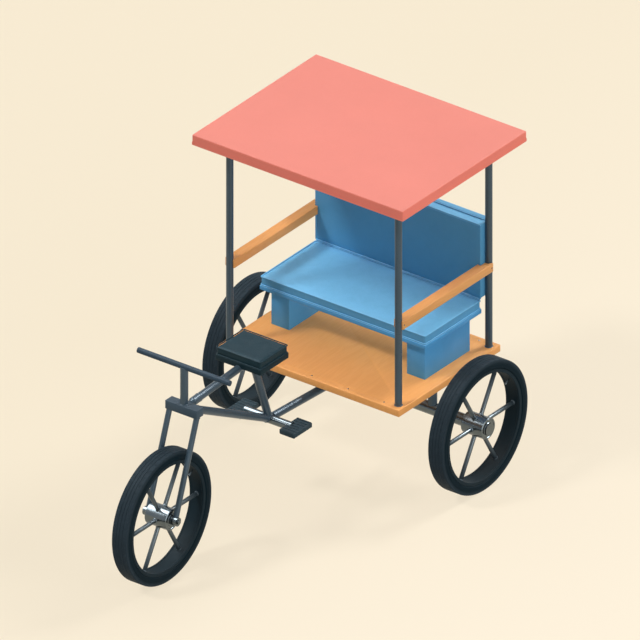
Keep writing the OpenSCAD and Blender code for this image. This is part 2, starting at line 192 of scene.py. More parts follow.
def makeFineGrain():
    # small even roughness, as in paint, rubber or moulded surfaces
    tree, given, out, look = newGroup("fineGrain", {"Scale": 400.0}, ["Height"])
    feed(tree, noisy(tree, ownPlace(tree), Scale=given["Scale"], **look["noise"]), out["Height"])


def makeHideGrain():
    # pebbled cells and creases of leather cloth
    tree, given, out, look = newGroup("hideGrain", {"Scale": 260.0}, ["Height", "Crease"])
    place = ownPlace(tree)
    bend = put(tree, "ShaderNodeTexNoise", {"Vector": place, **look["noise"]}).outputs["Color"]
    bent = put(tree, "ShaderNodeVectorMath", {0: bend, 1: (look["bend"],) * 3, 2: place},
               operation="MULTIPLY_ADD").outputs[0]
    cells = put(tree, "ShaderNodeTexVoronoi", {"Vector": bent, "Scale": given["Scale"]},
                feature="DISTANCE_TO_EDGE").outputs["Distance"]
    crease = ranged(tree, noisy(tree, place, **look["fold"]), *look["crease"])
    height = maths(tree, "ADD", ranged(tree, cells, *look["dome"]),
                   times(tree, crease, look["creaseHeight"]))
    feed(tree, height, out["Height"])
    feed(tree, crease, out["Crease"])


def makeWoodFigure():
    # growth bands and pores along the vector's Y
    tree, given, out, look = newGroup("woodFigure", {"Vector": None}, ["Figure", "Pores"])
    long = mapped(tree, given["Vector"], Scale=look["bandStretch"])
    wave = maths(tree, "SINE", times(tree, noisy(tree, long, **look["band"]), look["bands"]))
    thin = mapped(tree, given["Vector"], Scale=look["poreStretch"])
    feed(tree, ranged(tree, wave, -1.0, 1.0), out["Figure"])
    feed(tree, ranged(tree, noisy(tree, thin, **look["pore"]), *look["pores"]), out["Pores"])


def makeClothWeave():
    # over and under threads across the vector's X and Y
    tree, given, out, look = newGroup("clothWeave", {"Vector": None, "Threads": 700.0}, ["Height"])
    parts = put(tree, "ShaderNodeSeparateXYZ", {"Vector": given["Vector"]}).outputs
    runs = [maths(tree, "SINE", times(tree, times(tree, parts[axis], given["Threads"]), math.tau))
            for axis in ("X", "Y")]
    feed(tree, ranged(tree, times(tree, *runs), -1.0, 1.0), out["Height"])


for make in (makeToneDrift, makeEdgeWear, makeRoadDust, makePaintedTopLight, makeFineGrain, makeHideGrain,
             makeWoodFigure, makeClothWeave):
    make()


def shared(tree, name, **sockets):
    return put(tree, "ShaderNodeGroup", sockets, node_tree=groups[name]).outputs


def toned(tree, color, look):
    scale, depth = look["tone"]
    color = color if isSocket(color) else (*color, 1)
    return shared(tree, "toneDrift", Color=color, Scale=scale, Depth=depth)["Color"]


# painted light: moves the colour towards the colour painted on the faces that look up
def paintedTopLit(tree, look):
    return mixed(tree, shared(tree, "paintedTopLight")["Mask"], look["color"], look["paintedTopColor"])


def rubbed(tree, color, look):
    wear = shared(tree, "edgeWear", Reach=look["reach"], Amount=look["wear"])["Mask"]
    return mixed(tree, wear, color, look["worn"])


dustColor = (0.42, 0.36, 0.28)


def dusted(tree, color, look):
    mask = shared(tree, "roadDust", Height=look["dustTo"], Amount=look["dust"])["Mask"]
    return mixed(tree, mask, color, dustColor), mask


def fineGrain(tree, look):
    return shared(tree, "fineGrain", Scale=look["grain"])["Height"]


def uneven(tree, mask, look, low=0.3, high=0.7):
    # roughness that swings around its middle value; noise fills little more than 0.3 to 0.7
    return ranged(tree, mask, low, high, *(look["roughness"] + swing for swing in look["swing"]))


def connect(tree, shader, **sockets):
    for label, value in sockets.items():
        feed(tree, value, shader.inputs[label.replace("_", " ")])


finishes = {}


def newMaterial(name, look):
    finishes[name] = material = bpy.data.materials.new(name)
    material.use_nodes = True
    tree = material.node_tree
    shader = tree.nodes["Principled BSDF"]
    for key, label in (("roughness", "Roughness"), ("gloss", "Specular IOR Level"),
                       ("flake", "Metallic"), ("sheen", "Sheen Weight")):
        if key in look:
            shader.inputs[label].default_value = look[key]
    return tree, shader


def surfaced(tree, shader, look, color, height, **more):
    bump = put(tree, "ShaderNodeBump", {"Height": height, "Distance": look["relief"], "Strength": 1.0})
    if "Roughness" not in more:
        more["Roughness"] = uneven(tree, height, look)
    connect(tree, shader, Base_Color=color, Normal=bump.outputs["Normal"], **more)


# finishes; the colours are linear, and swing is how far the roughness goes from its middle value

paintBase = dict(flake=0.0, dust=0.0, dustTo=1.0, reach=0.004, tone=(4.0, 0.07), grain=160.0,
                 swing=(-0.06, 0.06), dustDulls=0.5, relief=0.00012)
# each finish's second colour is painted light: the colour given to faces that look up
paints = {
    "framePaint": dict(color=(0.050, 0.084, 0.114), paintedTopColor=(0.054, 0.088, 0.117), worn=(0.15, 0.18, 0.20),
                       roughness=0.32, gloss=0.42, flake=0.25, wear=0.30, dust=0.02, dustTo=0.9),
    "crownPaint": dict(color=(0.062, 0.094, 0.122), paintedTopColor=(0.068, 0.096, 0.122), worn=(0.10, 0.13, 0.15),
                       roughness=0.44, gloss=0.1, wear=0.15),
    "barPaint": dict(color=(0.036, 0.062, 0.088), paintedTopColor=(0.036, 0.062, 0.088), worn=(0.12, 0.15, 0.17),
                     roughness=0.5, gloss=0.12, wear=0.20),
    "benchPaint": dict(color=(0.078, 0.325, 0.630), paintedTopColor=(0.160, 0.500, 0.820), worn=(0.26, 0.50, 0.70),
                       roughness=0.46, gloss=0.2, wear=0.25),
    "saddlePan": dict(color=(0.009, 0.026, 0.034), paintedTopColor=(0.012, 0.030, 0.038), worn=(0.06, 0.08, 0.09),
                      roughness=0.5, gloss=0.1, wear=0.25),
}


def makePaint(name):
    look = {**paintBase, **paints[name]}
    tree, shader = newMaterial(name, look)
    # painted light on the faces that look up
    tone = toned(tree, paintedTopLit(tree, look), look)
    color, dust = dusted(tree, rubbed(tree, tone, look), look)
    grain = fineGrain(tree, look)
    rough = maths(tree, "ADD", uneven(tree, grain, look), times(tree, dust, look["dustDulls"]))
    surfaced(tree, shader, look, color, grain, Roughness=rough)


steelLook = dict(color=(0.125, 0.150, 0.165), flake=1.0, roughness=0.20, swing=(-0.05, 0.05),
                 tone=(12.0, 0.12), dust=0.05, dustTo=0.8, rings=(900.0, 6.0, 6.0),
                 noise=dict(Scale=1.0, Detail=2.0), relief=0.000004)


def makeAxleSteel():
    # fine rings across the axle, as a lathe leaves them
    look = steelLook
    tree, shader = newMaterial("axleSteel", look)
    color = dusted(tree, toned(tree, look["color"], look), look)[0]
    rings = noisy(tree, mapped(tree, ownPlace(tree), Scale=look["rings"]), **look["noise"])
    surfaced(tree, shader, look, color, rings)


wheelFinish = dict(rim=(0.010, 0.022, 0.030), spoke=(0.120, 0.150, 0.172), worn=(0.16, 0.19, 0.21),
                   wear=0.25, reach=0.004, tone=(6.0, 0.10), roughness=0.34, swing=(-0.04, 0.06),
                   gloss=0.06, flake=0.6, rimDulls=0.22, hubShines=0.13, dust=0.02, dustTo=0.8,
                   grain=180.0, relief=0.0001)


def makeWheelPaint():
    # the rim attribute is 1 on the band under the tyre, the hub attribute on the turned hub
    look = wheelFinish
    tree, shader = newMaterial("wheelPaint", look)
    rim, hub = (put(tree, "ShaderNodeAttribute", attribute_name=name).outputs["Fac"]
                for name in ("rim", "hub"))
    spoke = rubbed(tree, look["spoke"], look)
    color = mixed(tree, hub, mixed(tree, rim, spoke, look["rim"]), steelLook["color"])
    color = dusted(tree, toned(tree, color, look), look)[0]
    flake = maths(tree, "MAXIMUM", times(tree, maths(tree, "SUBTRACT", 1.0, rim), look["flake"]), hub)
    grain = fineGrain(tree, look)
    rough = maths(tree, "ADD", uneven(tree, grain, look), times(tree, rim, look["rimDulls"]))
    rough = maths(tree, "SUBTRACT", rough, times(tree, hub, look["hubShines"]))
    surfaced(tree, shader, look, color, grain, Roughness=rough, Metallic=flake)


# the tread colour is lighter than the walls, partly as scuffed rubber and partly as painted light where the
# tread faces the lamps
tyreFinish = dict(wall=(0.004, 0.014, 0.021), tread=(0.028, 0.043, 0.055), roughness=0.5,
                  swing=(-0.06, 0.10), gloss=0.03, tone=(7.0, 0.10),
                  noise=dict(Scale=24.0, Detail=7.0, Roughness=0.7), scuffAndLightSpread=(0.3, 0.6, 0.80, 1.0),
                  dust=0.015, dustTo=0.9, grain=300.0, relief=0.0002)


def makeTyreRubber():
    # the tread attribute is 1 where the tyre meets the road and 0 on its walls
    look = tyreFinish
    tree, shader = newMaterial("tyreRubber", look)
    tread = put(tree, "ShaderNodeAttribute", attribute_name="tread").outputs["Fac"]
    # partly painted light: the tread is mixed towards the lighter tread colour, in patches
    scuffAndLight = noisy(tree, ownPlace(tree), **look["noise"])
    share = times(tree, tread, ranged(tree, scuffAndLight, *look["scuffAndLightSpread"]))
    color = dusted(tree, toned(tree, mixed(tree, share, look["wall"], look["tread"]), look), look)[0]
    surfaced(tree, shader, look, color, fineGrain(tree, look))


pedalFinish = dict(color=(0.017, 0.041, 0.055), worn=(0.07, 0.09, 0.10), roughness=0.55,
                   swing=(-0.08, 0.10), gloss=0.25, tone=(20.0, 0.12), wear=0.35, reach=0.004,
                   grain=420.0, relief=0.0002)


def makePedalRubber():
    look = pedalFinish
    tree, shader = newMaterial("pedalRubber", look)
    color = rubbed(tree, toned(tree, look["color"], look), look)
    surfaced(tree, shader, look, color, fineGrain(tree, look))


# shade sets how far the grain's hollows are painted darker: painted shade
hideBase = dict(roughness=0.46, swing=(0.08, -0.05), tone=(2.5, 0.04), shade=(0.0, 1.3, 0.22, 0.0))
# each finish's second colour is painted light: the colour given to faces that look up
hides = {
    "benchVinyl": dict(color=(0.101, 0.348, 0.590), paintedTopColor=(0.190, 0.560, 0.890),
                       grainShadeColor=(0.066, 0.250, 0.445), gloss=0.22, cells=230.0, relief=0.00022),
    "saddleVinyl": dict(color=(0.010, 0.034, 0.045), paintedTopColor=(0.026, 0.062, 0.082),
                        grainShadeColor=(0.006, 0.018, 0.026), gloss=0.14, cells=300.0, relief=0.0002),
}


def makeHide(name):
    look = {**hideBase, **hides[name]}
    tree, shader = newMaterial(name, look)
    grain = shared(tree, "hideGrain", Scale=look["cells"])
    # painted light on the faces that look up
    tone = toned(tree, paintedTopLit(tree, look), look)
    # painted shade: the hollows between the grain's cells and its creases are mixed towards a darker colour
    shade = ranged(tree, grain["Height"], *look["shade"])
    surfaced(tree, shader, look, mixed(tree, shade, tone, look["grainShadeColor"]), grain["Height"],
             Roughness=uneven(tree, grain["Crease"], look, 0.0, 1.0))


woodBase = dict(turn=0.0, roughness=0.42, swing=(-0.06, 0.10), wear=0.30, reach=0.005, gloss=0.25,
                banding=0.38, poring=0.16, tone=(1.6, 0.05), relief=0.00015)
woods = {
    # turn, in degrees, brings the grain along the piece's own length
    "deckWood": dict(light=(0.965, 0.440, 0.133), dark=(0.885, 0.362, 0.093), worn=(0.96, 0.55, 0.22)),
    "armWood": dict(light=(0.790, 0.370, 0.118), dark=(0.710, 0.305, 0.084), worn=(0.86, 0.48, 0.20)),
    "crossWood": dict(light=(0.62, 0.38, 0.18), dark=(0.46, 0.26, 0.11), worn=(0.70, 0.48, 0.26),
                      roughness=0.6, turn=90.0, wear=0.2),
}


def makeWood(name):
    look = {**woodBase, **woods[name]}
    tree, shader = newMaterial(name, look)
    turned = mapped(tree, ownPlace(tree), Rotation=(0, 0, math.radians(look["turn"])))
    figure = shared(tree, "woodFigure", Vector=turned)
    bands = mixed(tree, times(tree, figure["Figure"], look["banding"]), look["light"], look["dark"])
    pored = mixed(tree, times(tree, figure["Pores"], look["poring"]), bands, look["dark"])
    surfaced(tree, shader, look, rubbed(tree, toned(tree, pored, look), look), figure["Pores"],
             Roughness=uneven(tree, figure["Pores"], look, 0.0, 1.0))


# the canopy's second colour is painted light: its top is painted darker than its sides
canopyLook = dict(color=(0.955, 0.250, 0.180), paintedTopColor=(0.765, 0.238, 0.188), shade=0.86,
                  shading=(0.0, 1.0, 0.22, 0.0), roughness=0.62, swing=(-0.06, 0.06), gloss=0.2,
                  tone=(1.7, 0.03), threads=620.0, grain=90.0, relief=0.00018)


def makeCanopyCloth():
    look = canopyLook
    tree, shader = newMaterial("canopyCloth", look)
    flat = put(tree, "ShaderNodeUVMap", uv_map="pattern").outputs["UV"]
    weave = shared(tree, "clothWeave", Vector=flat, Threads=look["threads"])["Height"]
    # painted light on the faces that look up
    tone = toned(tree, paintedTopLit(tree, look), look)
    shading = ranged(tree, weave, *look["shading"])
    surfaced(tree, shader, look, mixed(tree, shading, tone, (look["shade"],) * 3, "MULTIPLY"), weave,
             Roughness=uneven(tree, fineGrain(tree, look), look))


threadLook = dict(color=(0.80, 0.21, 0.155), roughness=0.7, sheen=0.2, tone=(60.0, 0.15))


def makeThread():
    look = threadLook
    tree, shader = newMaterial("coralThread", look)
    connect(tree, shader, Base_Color=toned(tree, look["color"], look))


for make, looks in ((makePaint, paints), (makeHide, hides), (makeWood, woods)):
    for name in looks:
        make(name)
for make in (makeThread, makeAxleSteel, makeWheelPaint, makeTyreRubber, makePedalRubber,
             makeCanopyCloth):
    make()
print("finishes made:", len(finishes))


# mesh helpers

def placed(name, data):
    piece = bpy.data.objects.new(name, data)
    scene.collection.objects.link(piece)
    return piece


def meshFrom(name, bm):
    mesh = bpy.data.meshes.new(name)
    bm.to_mesh(mesh)
    bm.free()
    return mesh


def bevelEdges(bm, edges, offset, segments=2, clamp=False):
    bmesh.ops.bevel(bm, geom=edges, offset=offset, segments=segments, profile=0.5,
                    affect="EDGES", material=-1, clamp_overlap=clamp)


def addBox(bm, low, high, rounding=0.0, segments=3):
    low, high = Vector(low), Vector(high)
    place = Matrix.Translation((low + high) / 2) @ Matrix.Diagonal((*(high - low), 1))
    corners = bmesh.ops.create_cube(bm, size=1.0, matrix=place)["verts"]
    if rounding:
        bevelEdges(bm, list({e for v in corners for e in v.link_edges}), rounding, segments)


def addRod(bm, start, end, radius, endRadius=None, steps=32, rounding=0.0):
    start, end = Vector(start), Vector(end)
    turn = (end - start).to_track_quat("Z", "Y").to_matrix().to_4x4()
    made = bmesh.ops.create_cone(
        bm, cap_ends=True, segments=steps, radius1=radius,
        radius2=radius if endRadius is None else endRadius, depth=(end - start).length,
        matrix=Matrix.Translation((start + end) / 2) @ turn)["verts"]
    if rounding:
        caps = {f for v in made for f in v.link_faces if len(f.verts) > 4}
        bevelEdges(bm, list({e for f in caps for e in f.edges}), rounding)


def addLathe(bm, profile, centre, axis=alongX, steps=96):
    # profile is a closed outline of (distance along the axis, radius)
    centre, axis = Vector(centre), Vector(axis).normalized()
    upright = abs(axis.z) > 0.99
    out = (axis.orthogonal() if upright else alongZ - axis * axis.z).normalized()
    points = [bm.verts.new(centre + axis * along + out * radius) for along, radius in profile]
    edges = [bm.edges.new((a, b)) for a, b in zip(points, points[1:] + points[:1])]
    bmesh.ops.spin(bm, geom=points + edges, cent=centre, axis=axis, angle=math.tau, steps=steps,
                   use_merge=True, use_normal_flip=False, use_duplicate=False)


def addRing(bm, centre, axis, ringRadius, wireRadius, steps=48, around=8):
    angles = [i * math.tau / around for i in range(around)]
    addLathe(bm, [(wireRadius * math.cos(a), ringRadius + wireRadius * math.sin(a)) for a in angles],
             centre, axis, steps)


def mirrored(half):
    return half + [(-along, radius) for along, radius in reversed(half)]


def finishPiece(name, bm, finish, replaced=(), smooth=38, body="frame"):
    bmesh.ops.remove_doubles(bm, verts=bm.verts, dist=0.00001)
    bmesh.ops.recalc_face_normals(bm, faces=bm.faces)
    return dressPiece(name, meshFrom(name, bm), finish, replaced, smooth, body)


def dressPiece(name, mesh, finish, replaced=(), smooth=38, body="frame"):
    # faces that meet at less than smooth degrees are shaded as one
    mesh.shade_smooth()
    mesh.set_sharp_from_angle(angle=math.radians(smooth))
    mesh.materials.clear()
    mesh.materials.append(finishes[finish])
    piece = placed(name, mesh)
    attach(piece, body)
    if replaced:
        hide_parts(*replaced)
    return piece


def paintNode(node, finish):
    piece = nodes[node]
    if not piece.material_slots:
        piece.data.materials.append(finishes[finish])
    for place in piece.material_slots:
        place.material = finishes[finish]


# cycle frame, axle and posts: the round members keep their own meshes

pairs = [f"{name}_{side}" for name in ("axle_strut", "post_front", "post_rear", "fork_leg")
         for side in sides]
plainNodes = {
    "framePaint": ["head_lug", "top_tube", "down_tube", "seat_tube", "main_tube", "stem", *pairs],
    "barPaint": ["handlebar"],
    "axleSteel": ["bottom_bracket", "rear_axle", "axle_caps", "front_axle", "pedal_shaft"],
}
for finish, names in plainNodes.items():
    for name in names:
        paintNode(name, finish)

# square members: a copy of the node's shape with its hard edges broken

squareMembers = {
    # (body, slot, finish): edge radius of each node
    ("steering", "frame_paint", "crownPaint"): dict(crown=0.003),
    ("frame", "frame_paint", "framePaint"): dict(axle_hanger=0.004, front_bearer=0.003),
    ("frame", "saddle_base", "saddlePan"): dict(saddle_base=0.005),
    ("frame", "deck_wood", "armWood"): dict(armrest_left=0.004, armrest_right=0.004),
    ("frame", "bench_paint", "benchPaint"): dict(seat_box_left=0.003, seat_box_right=0.003,
                                                 seat_board=0.003, backrest_board=0.002),
    ("frame", "canopy_wood", "crossWood"): dict(canopy_frame=0.002),
    ("frame", "deck_wood", "deckWood"): dict(deck=0.003),
}
hardAngle = 42  # degrees; a round hole's facets meet at less


def softenNode(node, rounding, body, slot, finish):
    bm = bmesh.new()
    bm.from_mesh(nodes[node].data)
    bmesh.ops.remove_doubles(bm, verts=bm.verts, dist=0.00002)
    bmesh.ops.dissolve_limit(bm, angle_limit=math.radians(1), verts=bm.verts, edges=bm.edges)
    hard = [e for e in bm.edges
            if len(e.link_faces) == 2 and e.calc_face_angle() > math.radians(hardAngle)]
    bevelEdges(bm, hard, rounding, clamp=True)
    finishPiece(node + "_shape", bm, finish, (node,), 30, body)


for place, members in squareMembers.items():
    for node, rounding in members.items():
        softenNode(node, rounding, *place)
print("square members softened")


# wheels

wheelBodies = {
    # name: (body, tyre node, wheel node)
    "front": ("front_wheel_body", "front_tyre", "front_wheel"),
    "rearLeft": ("rear_wheel_left_body", "rear_tyre_left", "rear_wheel_left"),
    "rearRight": ("rear_wheel_right_body", "rear_tyre_right", "rear_wheel_right"),
}
tyreLook = dict(
    steps=144, bead=0.006, wall=(0.026, 0.0245),  # how far below the tread the ledge begins and ends
    ledge=0.0012, corner=0.007, cornerSteps=5,
    grooves=(-0.020, 0.0, 0.020), groove=0.0032, grooveFloor=0.6, depth=0.0026,
    shoulder=(0.027, 0.041),  # the band that the sipes cut, from the middle outwards
    sipeEvery=3, sipeInset=0.003, sipe=0.0015, treadFrom=0.010, wallSkin=0.0008)
wheelLook = dict(
    rimLip=0.0025, rimInset=0.003, rimBand=0.020, rimWide=(0.011, 0.014), underTyre=0.0005,
    hub=0.061, bore=0.0256, hubDish=(0.034, 0.036, 0.049, 0.051), hubEdge=0.003,
    spokes=6, spoke=0.012, spokeSunk=0.006, collar=0.0155, collarSunk=0.004, collarLong=0.010,
    # the valve's two rods: from, to (inwards from the rim), radius, rounding
    valveTurn=30, valve=((-0.002, 0.022, 0.0035, 0.0), (0.016, 0.028, 0.0050, 0.001)))


def wheelPlace(node):
    # centre, radius and half width
    low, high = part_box(node)
    return (low + high) / 2, (high.z - low.z) / 2, (high.x - low.x) / 2


def radiusOf(point, centre):
    return math.hypot(point.y - centre.y, point.z - centre.z)


def markPoints(piece, name, share):
    # a value from 0 to 1 at every point, which the finish reads
    layer = piece.data.attributes.new(name, "FLOAT", "POINT")
    for index, vertex in enumerate(piece.data.vertices):
        layer.data[index].value = share(vertex.co)


def buildTyre(name, body, tyreNode, wheelNode):
    look = tyreLook
    centre, outer, half = wheelPlace(tyreNode)
    seat = wheelPlace(wheelNode)[1]
    corner, ledge, steps = look["corner"], look["ledge"], look["steps"]
    groove, depth = look["groove"] / 2, look["depth"]
    inside, outside = look["shoulder"]
    outline = [(-half + look["bead"], seat), (-half, seat + look["bead"]),
               (-half, outer - look["wall"][0]), (-half + ledge, outer - look["wall"][1])]
    for i in range(look["cornerSteps"] + 1):
        angle = math.radians(90 * i / look["cornerSteps"])
        outline.append((-half + ledge + (corner - ledge) * (1 - math.cos(angle)),
                        outer - corner + corner * math.sin(angle)))
    outline += [(-outside, outer), (-inside, outer)]
    profile = list(outline)
    for at in look["grooves"]:
        floor = groove * look["grooveFloor"]
        profile += [(at - groove, outer), (at - floor, outer - depth),
                    (at + floor, outer - depth), (at + groove, outer)]
    profile += [(-along, radius) for along, radius in reversed(outline)]
    bm = bmesh.new()
    addLathe(bm, profile, centre, steps=steps)
    bmesh.ops.recalc_face_normals(bm, faces=bm.faces)
    sipes = []
    for face in bm.faces:
        middle = face.calc_center_median() - centre
        step = math.floor(math.atan2(middle.z, middle.y) / (math.tau / steps))
        onTread = math.hypot(middle.y, middle.z) > outer - 0.002
        if onTread and inside < abs(middle.x) < outside and step % look["sipeEvery"] == 0:
            sipes.append(face)
    bmesh.ops.inset_individual(bm, faces=sipes, thickness=look["sipeInset"], depth=-look["sipe"])
    tyre = finishPiece(name + "Tyre", bm, "tyreRubber", (tyreNode,), 32, body)
    markPoints(tyre, "tread", lambda point: float(radiusOf(point, centre) > outer - look["treadFrom"]
                                                  and abs(point.x - centre.x) < half - look["wallSkin"]))


def buildWheel(name, body, tyreNode, wheelNode):
    look = wheelLook
    centre, outer, half = wheelPlace(tyreNode)
    rim, hubHalf = wheelPlace(wheelNode)[1:]
    inner = rim - look["rimBand"]
    edge = half - look["rimInset"]
    lip, hub, step, tiny = look["rimLip"], look["hub"], look["hubEdge"], look["underTyre"]
    bm = bmesh.new()
    addLathe(bm, mirrored([(edge, rim - tiny), (edge, inner + lip), (edge - lip, inner),
                           (edge - look["rimWide"][0], inner),
                           (edge - look["rimWide"][1], inner + lip)]), centre, steps=120)
    dish = look["hubDish"]
    addLathe(bm, mirrored([(hubHalf, look["bore"]), (hubHalf, dish[0]), (hubHalf - step, dish[1]),
                           (hubHalf - step, dish[2]), (hubHalf, dish[3]), (hubHalf, hub - step),
                           (hubHalf - step, hub)]), centre)
    for i in range(look["spokes"]):
        angle = i * math.tau / look["spokes"]
        out = Vector((0, math.cos(angle), math.sin(angle)))
        spoke, collar = look["spoke"], look["collar"]
        addRod(bm, centre + out * (hub - look["spokeSunk"]), centre + out * (inner + look["spokeSunk"]),
               spoke, steps=24)
        for start, sign in ((hub - look["collarSunk"], 1), (inner + look["collarSunk"], -1)):
            addRod(bm, centre + out * start, centre + out * (start + sign * look["collarLong"]),
                   collar, spoke, steps=24)
    turn = math.radians(look["valveTurn"])
    side = Vector((0, math.cos(turn), math.sin(turn)))
    for start, end, radius, rounding in look["valve"]:
        addRod(bm, centre + side * (inner - start), centre + side * (inner - end), radius, steps=16,
               rounding=rounding)
    wheel = finishPiece(name + "Wheel", bm, "wheelPaint", (wheelNode,), body=body)
    markPoints(wheel, "rim", lambda point: float(radiusOf(point, centre) > inner - tiny))
    markPoints(wheel, "hub", lambda point: float(radiusOf(point, centre) < hub + tiny))


for name, place in wheelBodies.items():
    buildTyre(name, *place)
    buildWheel(name, *place)
print("wheels built:", len(wheelBodies))


# pedals

pedalLook = dict(ribs=7, rib=0.013, ribHigh=0.003, ribRounding=0.0012, endRib=0.003,
                 sideways=0.004, rounding=0.0035)


def buildPedal(side):
    look = pedalLook
    low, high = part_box("pedal_" + side)
    raised = Vector((0, 0, look["ribHigh"]))
    bm = bmesh.new()
    addBox(bm, low + raised, high - raised, look["rounding"])
    last = look["ribs"] - 1
    pitch = (high.y - low.y - look["rib"]) / last
    for i in range(look["ribs"]):
        # the first and the last rib stay clear of the pedal's ends
        begin = low.y + i * pitch + (look["endRib"] if i == 0 else 0)
        end = low.y + i * pitch + look["rib"] - (look["endRib"] if i == last else 0)
        addBox(bm, (low.x + look["sideways"], begin, low.z), (high.x - look["sideways"], end, high.z),
               look["ribRounding"], 2)
    finishPiece("pedal" + side.capitalize(), bm, "pedalRubber", ("pedal_" + side,),
                body="pedals")


for side in sides:
    buildPedal(side)


# welds, and the shoulders at the ends of the two front tubes

# the tubes' middle lines run between these points, as (Y, Z)
frameLines = dict(head=(-0.760, 0.950), saddle=(-0.160, 0.980), bracket=(-0.010, 0.550),
                  hanger=(0.840, 0.540))
weldLook = dict(bead=0.0028, headBead=0.8, postBead=0.0026, tube=0.0226, stem=0.0225,
                fromHead=0.1285, fromBracket=0.0275, lift=0.001, strutDrop=0.002, postGap=0.0008,
                legGap=0.0005, socketFrom=0.0745, socket=0.0238, taper=0.015, neck=0.011)


def linePoint(name):
    return Vector((0, *frameLines[name]))


def uprightAt(node, level):
    # the point of an upright post at this level, and the post's radius
    low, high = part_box(node)
    middle = (low + high) / 2
    return (middle.x, middle.y, level), (high.x - low.x) / 2


def buildFrameWelds():
    look = weldLook
    bead = look["bead"]
    bm = bmesh.new()
    bracket, head = linePoint("bracket"), linePoint("head")
    for end in ("head", "saddle", "hanger"):
        out = (linePoint(end) - bracket).normalized()
        addRing(bm, bracket + out * look["fromBracket"], out, look["tube"], bead)
    for end in ("saddle", "bracket"):
        out = (linePoint(end) - head).normalized()
        addRing(bm, head + out * look["fromHead"], out, look["tube"], bead * look["headBead"])
        mouth = look["socketFrom"] / out.y
        addRod(bm, head + out * (mouth - look["taper"]), head + out * mouth, look["neck"], look["socket"])
    deckLow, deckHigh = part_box("deck")
    for end in ("front", "rear"):
        for side in sides:
            place, radius = uprightAt(f"post_{end}_{side}", deckHigh.z + look["lift"])
            addRing(bm, place, alongZ, radius + look["postGap"], look["postBead"])
    for side in sides:
        place, radius = uprightAt("axle_strut_" + side, deckLow.z - look["strutDrop"])
        addRing(bm, place, alongZ, radius, bead)
    finishPiece("frameWelds", bm, "framePaint")


def buildSteeringWelds():
    look = weldLook
    bm = bmesh.new()
    head = linePoint("head")
    crownLow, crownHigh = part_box("crown")
    legLow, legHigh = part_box("fork_leg_left")
    wheelCentre = wheelPlace("front_tyre")[0]
    legX = (legLow.x + legHigh.x) / 2
    leg = (Vector((0, wheelCentre.y, wheelCentre.z)) - head).normalized()
    drop = (head.z - crownLow.z + look["lift"]) / -leg.z
    for sign in sides.values():
        addRing(bm, head + leg * drop + alongX * legX * sign, leg,
                (legHigh.x - legLow.x) / 2 + look["legGap"], look["bead"])
    addRing(bm, (0, head.y, crownHigh.z + look["lift"]), alongZ, look["stem"], look["bead"])
    finishPiece("steeringWelds", bm, "framePaint", body="steering")


# screws and nuts

screwLook = dict(head=0.0050, high=0.0014, sunk=0.002, slot=0.0004, edge=0.030, row=5,
                 rowEnds=0.24, offPost=0.012)
nutLook = dict(washer=0.0192, washerHigh=0.0015, nut=0.01392, high=0.009, rounding=0.0007)


def addScrew(bm, place, axis):
    look = screwLook
    rim, high, sunk, slot = look["head"], look["high"], look["sunk"], look["slot"]
    addLathe(bm, [(-sunk, slot), (-sunk, rim), (0.0002, rim), (high * 0.6, rim * 0.8),
                  (high, rim * 0.45), (high * 0.4, rim * 0.30), (high * 0.4, slot)], place, axis, 20)


def buildScrews():
    look = screwLook
    bm = bmesh.new()
    low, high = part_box("deck")
    spread = high.x - low.x - look["rowEnds"]
    for y in (low.y + look["edge"], high.y - look["edge"]):
        for i in range(look["row"]):
            addScrew(bm, (spread * (i / (look["row"] - 1) - 0.5), y, high.z), alongZ)
    for side, sign in sides.items():
        armLow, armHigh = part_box("armrest_" + side)
        outer = armHigh.x if sign > 0 else armLow.x
        for end, offPost in (("front", look["offPost"]), ("rear", -look["offPost"])):
            y = uprightAt(f"post_{end}_{side}", 0)[0][1] + offPost
            addScrew(bm, (outer, y, (armLow.z + armHigh.z) / 2), alongX * sign)
    finishPiece("deckScrews", bm, "axleSteel")


def buildAxleNuts():
    look = nutLook
    bm = bmesh.new()
    low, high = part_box("front_axle")
    middle = (low + high) / 2
    for sign, end in ((1, high.x), (-1, low.x)):
        place, axis = Vector((end, middle.y, middle.z)), alongX * sign
        seat = place + axis * look["washerHigh"]
        addRod(bm, place, seat, look["washer"], steps=20)
        addRod(bm, seat, place + axis * look["high"], look["nut"], steps=6, rounding=look["rounding"])
    finishPiece("frontAxleNuts", bm, "axleSteel", body="steering")


buildFrameWelds()
buildSteeringWelds()
buildScrews()
buildAxleNuts()
print("pedals, welds and screws built")


# cushions: a plain block, blown up a little as cloth, held to a cap and kept inside its room

padBase = dict(margin=0.003, voxel=0.008, edge=0.004, rests="low Z", cap=0.0035, inside=0.0003,
               under=0.0004, welts=("low Z", "high Z"), welt=0.0042, fill=0.9)
pads = {
    # name: (slot, finish, what differs from the others)
    "seat_cushion": ("bench_cover", "benchVinyl", {}),
    "backrest_cushion": ("bench_cover", "benchVinyl", dict(rests="high Y", welts=("low Y", "high Y"))),
    "saddle": ("saddle_cover", "saddleVinyl", dict(voxel=0.005, edge=0.005, welt=0.0032)),
}
airLook = dict(frames=20, quality=5, mass=0.4, pressure=4.0)
weltLook = dict(corner=0.009, turns=5, around=3)


def takeMesh(piece):
    # the mesh as the modifiers leave it; the piece itself is dropped
    view = bpy.context.evaluated_depsgraph_get()
    mesh = bpy.data.meshes.new_from_object(piece.evaluated_get(view))
    bpy.data.objects.remove(piece)
    return mesh


def remeshed(name, bm, voxel):
    piece = placed(name, meshFrom(name, bm))
    setAll(piece.modifiers.new("grid", "REMESH"), mode="VOXEL", voxel_size=voxel)
    return takeMesh(piece)


